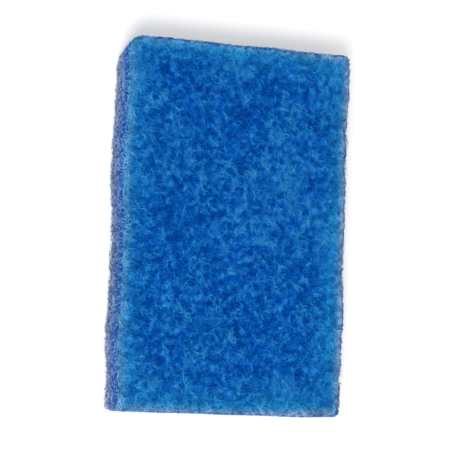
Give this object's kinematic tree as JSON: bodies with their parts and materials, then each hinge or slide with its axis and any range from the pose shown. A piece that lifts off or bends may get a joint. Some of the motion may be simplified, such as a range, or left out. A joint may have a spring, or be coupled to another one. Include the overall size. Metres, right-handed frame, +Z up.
{
  "type": "scouring pad",
  "caption": "Rectangular scouring pad of open, non-woven fibre web, with cut sides, rounded corners and one corner rounder than the rest.",
  "frame": {"origin": "centre of the bounding box, on the lower face that the pad rests on", "axes": "+Z up through the thickness, +Y along the length, towards the end with the rounder corner, which is at -X"},
  "size_m": [0.1, 0.15, 0.015],
  "materials": {
    "fibre_web": "matte"
  },
  "bodies": {
    "root": {"scouring_pad": "fibre_web"}
  },
  "joints": []
}
